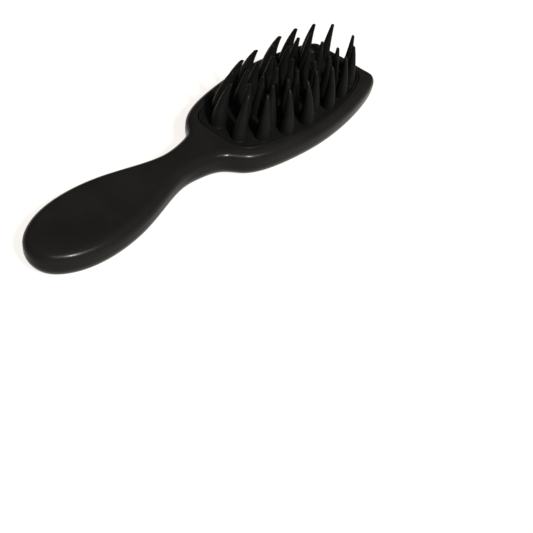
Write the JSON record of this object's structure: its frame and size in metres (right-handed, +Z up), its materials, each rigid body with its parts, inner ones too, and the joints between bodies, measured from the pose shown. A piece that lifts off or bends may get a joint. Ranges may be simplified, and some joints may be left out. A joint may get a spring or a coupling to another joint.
{
  "type": "scalp massager brush",
  "caption": "Hand-held scalp massager brush: a flat spoon handle and a rounded head that carries a soft pad with tall pointed spikes.",
  "frame": {"origin": "middle of the underside, below the middle of the brush's length", "axes": "+X from the handle's end to the head's tip, +Y across, +Z up out of the pad, the way the spikes point"},
  "size_m": [0.2, 0.0568, 0.0328],
  "materials": {
    "shell_plastic": "satin black moulding",
    "cover_plastic": "satin black moulding",
    "pad_silicone": "matte black silicone",
    "carrier_plastic": "plain grey moulding",
    "cushion_foam": "closed-cell foam",
    "screw_steel": "plain zinc-coated steel"
  },
  "bodies": {
    "body": {"body_shell": "shell_plastic", "back_cover": "cover_plastic", "cushion_foam": "cushion_foam", "cover_screw_1": "screw_steel", "cover_screw_2": "screw_steel", "cover_screw_3": "screw_steel", "cover_screw_4": "screw_steel"},
    "pad": {"massage_pad": "pad_silicone", "pad_carrier": "carrier_plastic"}
  },
  "joints": [
    {"name": "pad_press", "type": "slide", "parent": "body", "child": "pad", "axis": [0, 0, 1], "range_m": [-0.002, 0], "stiffness_N_per_m": 6000, "springref_m": 0.0004, "deforming": ["cushion_foam"]}
  ]
}
